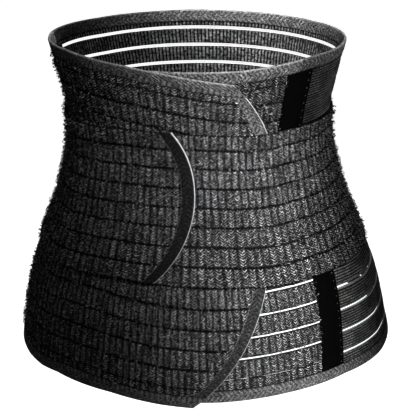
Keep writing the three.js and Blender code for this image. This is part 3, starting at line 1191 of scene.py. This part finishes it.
class BINDER_OT_tapes(bpy.types.Operator):
    """Black tapes over the seams, with a row of stitches near the back edge"""

    bl_idname = "binder.tapes"
    bl_label = "Seam tapes"

    # The tape thins to a share of its thickness at its edges, and its fray reaches a share of its
    # width.
    step = 1.2 * MM
    stitch_inset = 3.4 * MM
    stitch_margin = 3 * MM
    inner_lift = FABRIC + 0.1 * MM
    top = FABRIC + CLEARANCE + TAPE
    edge_share = 0.4
    edge_slope = 6
    fray = 1.6 * MM
    fray_size = 1.9 * MM
    fray_share = 0.125
    fray_seed = 5

    def execute(self, context):
        settings = context.scene.binder_trim
        material = tape_material(settings)
        thread = thread_material()
        stitch = stitch_template()
        for name, belt in BELTS.items():
            for side, seam, mirror in (("right", "right_seam", 1), ("left", "left_seam", -1)):
                node = f"{name}_{side}_tape"
                self.tape(node, belt, seam, mirror, material)
                self.stitches(node + "_stitches", belt, seam, mirror, settings, thread, stitch)
        bpy.data.meshes.remove(stitch)
        return {"FINISHED"}

    def tape(self, node, belt, seam, mirror, material):
        """Covers a seam, thinner at both edges and frayed at the one beside the loop cloth."""
        rows = spread_between(cloth_start(belt), belt["width"], self.step)
        first, last = (beside_seam(belt, seam, side * TAPE_WIDTH / 2) for side in (-1, 1))
        strip = Strip(belt, first, last, rows, self.step)
        ragged = 0.0 if mirror > 0 else 1.0

        def place(column, row):
            across, angle, share = strip.at(column, row)
            frayed = max(0.0, 1 - abs(share - ragged) / self.fray_share)
            fray = self.fray * frayed * puff(0, across, self.fray_size, self.fray_seed)
            angle = beside(belt, across, angle, fray)
            thinning = TAPE * max(0.0, 1 - self.edge_share - self.edge_slope * crowned(share, power=1))
            outer = belt_point(belt, across, angle, self.top - thinning)
            inner = belt_point(belt, across, angle, self.inner_lift)
            return outer, inner, (share * TAPE_WIDTH / CM, across / CM), (2 * share - 1, 0)

        piece = shell(node + "_nap", strip.count, len(rows) - 1, place)
        cover(piece, material)
        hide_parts(node)
        belt["width"] - cloth_start(belt)

    def stitches(self, name, belt, seam, mirror, settings, material, stitch):
        """A row of stitches near the tape's edge at the back."""
        places = []
        inset = mirror * (TAPE_WIDTH / 2 - self.stitch_inset)
        first, last = cloth_start(belt) + self.stitch_margin, belt["width"] - self.stitch_margin
        for across in spread_between(first, last, settings.stitch_gap):
            angle = beside(belt, across, seam_angle(belt, seam, across), inset)
            foot = belt_point(belt, across, angle, self.top)
            ahead = (belt_point(belt, across, angle + 0.5, self.top) - foot).normalized()
            side = (belt_point(belt, across + MM, angle, self.top) - foot).normalized()
            turn = Matrix((ahead, side, ahead.cross(side))).transposed().to_4x4()
            places.append(Matrix.Translation(foot) @ turn)
        piece = scatter(name, stitch, places)
        piece.data.materials.append(material)


class BINDER_OT_hook_patches(bpy.types.Operator):
    """The fastener inside each flap keeps its solid and gets its finish"""

    bl_idname = "binder.hook_patches"
    bl_label = "Hook patches"

    def execute(self, context):
        material = hook_material()
        for name in BELTS:
            patch = bpy.data.objects[f"{name}_hook_patch"]
            for place in patch.material_slots:
                place.material = material
        return {"FINISHED"}


class BINDER_OT_stage(bpy.types.Operator):
    """Pale floor, soft lights and the camera"""

    bl_idname = "binder.stage"
    bl_label = "Stage"

    camera_distance = 1.05
    camera_height = 0.4117
    camera_azimuth = 8.08
    camera_turn = 0.35
    camera_pitch = 25.94
    camera_roll = -1.51
    lens = 103.05
    floor_height = -0.75
    floor_size = 8
    world_strength = 0.04

    # Each light's target in metres, its direction from there in degrees (azimuth from the front
    # towards +X, and height), its distance and size in metres, its beam's spread in degrees, and its
    # power in watts.
    lights = {
        "key": {
            "target": (-0.032, 0, -0.089),
            "direction": (46, 34.6),
            "distance": 1.2,
            "size": (0.094, 0.7),
            "spread": 10.3,
            "power": 0.82,
        },
        "side": {
            "target": (0.11, -0.05, 0.03),
            "direction": (75, -8),
            "distance": 1.2,
            "size": (0.3, 0.3),
            "spread": 40,
            "power": 0.45,
        },
        "inner": {
            "target": (0.035, 0.08, 0.05),
            "direction": (-42, 58),
            "distance": 1.1,
            "size": (0.08, 0.08),
            "spread": 12,
            "power": 0.125,
        },
        "rim": {
            "target": (0.05, 0.09, 0.075),
            "direction": (10, 45),
            "distance": 1.2,
            "size": (0.08, 0.08),
            "spread": 14,
            "power": 0.2,
        },
        "front": {
            "target": (0, 0, -0.07),
            "direction": (5, 40),
            "distance": 2.0,
            "size": (0.8, 0.8),
            "spread": 120,
            "power": 1.3,
        },
        "back": {
            "target": (0, 0, -0.07),
            "direction": (175, 35),
            "distance": 2.0,
            "size": (0.8, 0.8),
            "spread": 120,
            "power": 12.0,
        },
    }

    def execute(self, context):
        scene = context.scene
        scene.view_settings.view_transform = "Standard"
        self.camera(scene)
        self.floor(scene)
        lights = {name: self.light(scene, name, **values) for name, values in self.lights.items()}
        rim = [piece for piece in scene.objects if piece.name.startswith("upper_edge_binding_back")]
        back = rim + [piece for piece in scene.objects if piece.name.startswith("upper_back_band")]
        self.restrict(lights["key"], "EXCLUDE", back)
        self.restrict(lights["side"], "INCLUDE", back)
        self.restrict(lights["rim"], "INCLUDE", rim)
        world = bpy.data.worlds.new("studio")
        world.use_nodes = True
        background = world.node_tree.nodes["Background"]
        background.inputs["Color"].default_value = grey(1.0)
        background.inputs["Strength"].default_value = self.world_strength
        scene.world = world
        return {"FINISHED"}

    def camera(self, scene):
        """Stands to the right of the front, and looks down at the binder."""
        azimuth = math.radians(self.camera_azimuth)
        data = bpy.data.cameras.new("camera")
        data.lens = self.lens
        camera = bpy.data.objects.new("camera", data)
        place = Vector((0, -self.camera_distance, self.camera_height))
        place.rotate(Matrix.Rotation(azimuth, 3, "Z"))
        camera.matrix_world = (
            Matrix.Translation(place)
            @ Matrix.Rotation(azimuth - math.radians(self.camera_turn), 4, "Z")
            @ Matrix.Rotation(math.radians(90 - self.camera_pitch), 4, "X")
            @ Matrix.Rotation(math.radians(self.camera_roll), 4, "Z")
        )
        scene.collection.objects.link(camera)
        scene.camera = camera

    def floor(self, scene):
        """A white floor with an even glow, which hides shadows on it and lights no piece."""
        bm = bmesh.new()
        bmesh.ops.create_grid(bm, x_segments=1, y_segments=1, size=self.floor_size)
        bmesh.ops.translate(bm, verts=bm.verts, vec=(0, 0, self.floor_height))
        floor = bpy.data.objects.new("floor", mesh_of("floor", bm))
        scene.collection.objects.link(floor)
        material = bpy.data.materials.new("pale_floor")
        material.use_nodes = True
        shader = material.node_tree.nodes["Principled BSDF"]
        shader.inputs["Base Color"].default_value = grey(0.95)
        shader.inputs["Roughness"].default_value = 0.9
        shader.inputs["Specular IOR Level"].default_value = 0.0
        shader.inputs["Emission Color"].default_value = grey(1.0)
        shader.inputs["Emission Strength"].default_value = 1.0
        floor.data.materials.append(material)
        floor.visible_diffuse = False
        floor.visible_glossy = False

    def light(self, scene, name, target, direction, distance, size, spread, power):
        """A soft box aimed at its target, with a grid that narrows its beam."""
        data = bpy.data.lights.new(name, "AREA")
        data.shape = "RECTANGLE"
        data.size, data.size_y = size
        data.spread = math.radians(spread)
        data.energy = power
        light = bpy.data.objects.new(name, data)
        around, up = (math.radians(value) for value in direction)
        out = Vector((math.sin(around) * math.cos(up), -math.cos(around) * math.cos(up), math.sin(up)))
        light.location = Vector(target) + out * distance
        light.rotation_mode = "QUATERNION"
        light.rotation_quaternion = (-out).to_track_quat("-Z", "Y")
        scene.collection.objects.link(light)
        return light

    def restrict(self, light, state, pieces):
        """Light linking: the light reaches only these pieces, or all but these."""
        listed = bpy.data.collections.new(light.name + "_pieces")
        for piece in pieces:
            listed.objects.link(piece)
        for entry in listed.collection_objects:
            entry.light_linking.link_state = state
        light.light_linking.receiver_collection = listed


class BINDER_PT_panel(bpy.types.Panel):
    """Lists the steps that make the binder"""

    bl_label = "Abdominal Binder"
    bl_space_type = "VIEW_3D"
    bl_region_type = "UI"
    bl_category = "Binder"

    def draw(self, context):
        layout = self.layout
        for step in STEPS:
            layout.operator(step.bl_idname)
        scene = context.scene
        for group in (scene.binder_cloth, scene.binder_elastic, scene.binder_trim):
            for key in group.bl_rna.properties.keys():
                if key not in {"rna_type", "name"}:
                    layout.prop(group, key)


STEPS = (
    BINDER_OT_panels,
    BINDER_OT_back_bands,
    BINDER_OT_bindings,
    BINDER_OT_tapes,
    BINDER_OT_hook_patches,
    BINDER_OT_stage,
)
CLASSES = (ClothSettings, ElasticSettings, TrimSettings, *STEPS, BINDER_PT_panel)


def register():
    for cls in CLASSES:
        bpy.utils.register_class(cls)
    bpy.types.Scene.binder_cloth = PointerProperty(type=ClothSettings)
    bpy.types.Scene.binder_elastic = PointerProperty(type=ElasticSettings)
    bpy.types.Scene.binder_trim = PointerProperty(type=TrimSettings)


def unregister():
    del bpy.types.Scene.binder_cloth
    del bpy.types.Scene.binder_elastic
    del bpy.types.Scene.binder_trim
    for cls in reversed(CLASSES):
        bpy.utils.unregister_class(cls)


def main():
    """Makes every piece and the stage."""
    random.seed(7)
    register()
    for step in STEPS:
        group, name = step.bl_idname.split(".")
        getattr(getattr(bpy.ops, group), name)()


if __name__ == "__main__":
    main()
